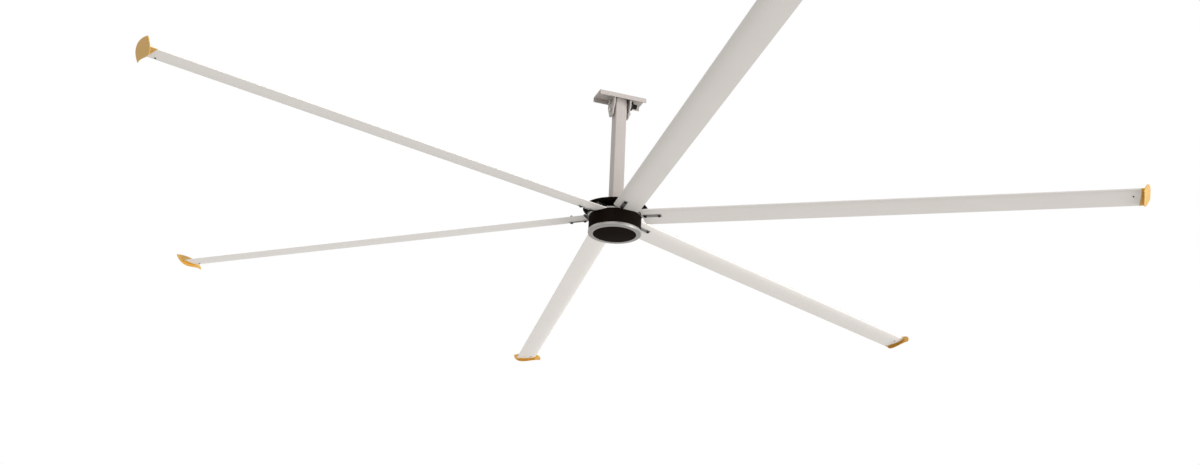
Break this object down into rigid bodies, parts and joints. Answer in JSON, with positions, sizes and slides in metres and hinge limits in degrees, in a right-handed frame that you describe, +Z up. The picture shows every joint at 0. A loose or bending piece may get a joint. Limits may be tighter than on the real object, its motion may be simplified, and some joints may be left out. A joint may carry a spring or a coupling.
{
  "type": "high-volume low-speed fan",
  "caption": "Large slow ceiling fan: long hollow aerofoil blades with amber winglets on a direct-drive hub motor, hung on a square downrod from a channel mount.",
  "frame": {"origin": "centre of the ceiling mount's top face, midway between its four bolt holes", "axes": "+Z up into the ceiling and along the rotor's axis, +X along the mount's channel and along its pivot bolt, +Y across the channel"},
  "size_m": [6.7654, 7.3116, 1.1619],
  "materials": {
    "painted_mount": "satin powder coat, warm light grey",
    "zinc_steel": "zinc plated",
    "black_steel": "black oxide",
    "dark_zinc_steel": "dark zinc plated",
    "black_rubber": "matte",
    "bare_steel": "turned",
    "cast_aluminium": "machined casting",
    "lamination_steel": "dark oiled",
    "copper_winding": "lacquered copper wire",
    "bearing_steel": "ground and polished",
    "black_aluminium": "black satin coat",
    "black_painted_steel": "black satin coat",
    "magnet": "nickel plated",
    "arm_aluminium": "machined bar",
    "blade_aluminium": "satin off-white",
    "amber_plastic": "moulded, slight gloss"
  },
  "bodies": {
    "ceiling_mount": {"mount_channel": "painted_mount", "ear_left": "painted_mount", "ear_right": "painted_mount", "pivot_bolt": "zinc_steel", "pivot_washers": "zinc_steel", "pivot_nuts": "black_steel", "pivot_buffer": "black_rubber"},
    "downrod": {"downrod": "painted_mount", "pivot_sleeve": "zinc_steel", "clamp_bolt": "zinc_steel", "clamp_washers": "zinc_steel", "clamp_nut": "zinc_steel", "cable_grommet": "black_rubber", "rod_flange": "painted_mount", "flange_bolts": "zinc_steel", "stator_shaft": "bare_steel", "shaft_nut": "bare_steel", "stator_carrier": "cast_aluminium", "stator_core": "lamination_steel", "stator_coils": "copper_winding", "upper_inner_race": "bearing_steel", "lower_inner_race": "bearing_steel"},
    "upper_ball_cage": {"upper_ball_cage": "bearing_steel"},
    "lower_ball_cage": {"lower_ball_cage": "bearing_steel"},
    "rotor": {"motor_housing": "black_aluminium", "upper_end_bell": "cast_aluminium", "lower_cap": "cast_aluminium", "bottom_cover": "black_aluminium", "hub_disc": "black_painted_steel", "back_iron": "lamination_steel", "magnets": "magnet", "upper_outer_race": "bearing_steel", "lower_outer_race": "bearing_steel", "shaft_seal": "black_rubber", "housing_screws": "zinc_steel", "cover_screws": "black_steel", "arm_bolts": "black_steel", "root_straps": "dark_zinc_steel", "blade_bolts": "black_steel", "blade_nuts": "black_steel", "winglet_screws": "black_steel", "blade_arm_1": "arm_aluminium", "blade_arm_2": "arm_aluminium", "blade_arm_3": "arm_aluminium", "blade_arm_4": "arm_aluminium", "blade_arm_5": "arm_aluminium", "blade_arm_6": "arm_aluminium", "blade_1": "blade_aluminium", "blade_2": "blade_aluminium", "blade_3": "blade_aluminium", "blade_4": "blade_aluminium", "blade_5": "blade_aluminium", "blade_6": "blade_aluminium", "winglet_1": "amber_plastic", "winglet_2": "amber_plastic", "winglet_3": "amber_plastic", "winglet_4": "amber_plastic", "winglet_5": "amber_plastic", "winglet_6": "amber_plastic"}
  },
  "joints": [
    {"name": "downrod_swing", "type": "hinge", "parent": "ceiling_mount", "child": "downrod", "pos_m": [0, 0, -0.05], "axis": [1, 0, 0], "range_deg": [-12, 12]},
    {"name": "rotor_spin", "type": "hinge", "parent": "downrod", "child": "rotor", "pos_m": [0, 0, -0.975], "axis": [0, 0, 1], "continuous": true},
    {"name": "upper_ball_cage_spin", "type": "hinge", "parent": "downrod", "child": "upper_ball_cage", "pos_m": [0, 0, -0.975], "axis": [0, 0, 1], "continuous": true},
    {"name": "lower_ball_cage_spin", "type": "hinge", "parent": "downrod", "child": "lower_ball_cage", "pos_m": [0, 0, -0.975], "axis": [0, 0, 1], "continuous": true}
  ],
  "couplings": [
    {"joint": "upper_ball_cage_spin", "follows": "rotor_spin", "ratio": 0.5941},
    {"joint": "lower_ball_cage_spin", "follows": "rotor_spin", "ratio": 0.5941}
  ]
}
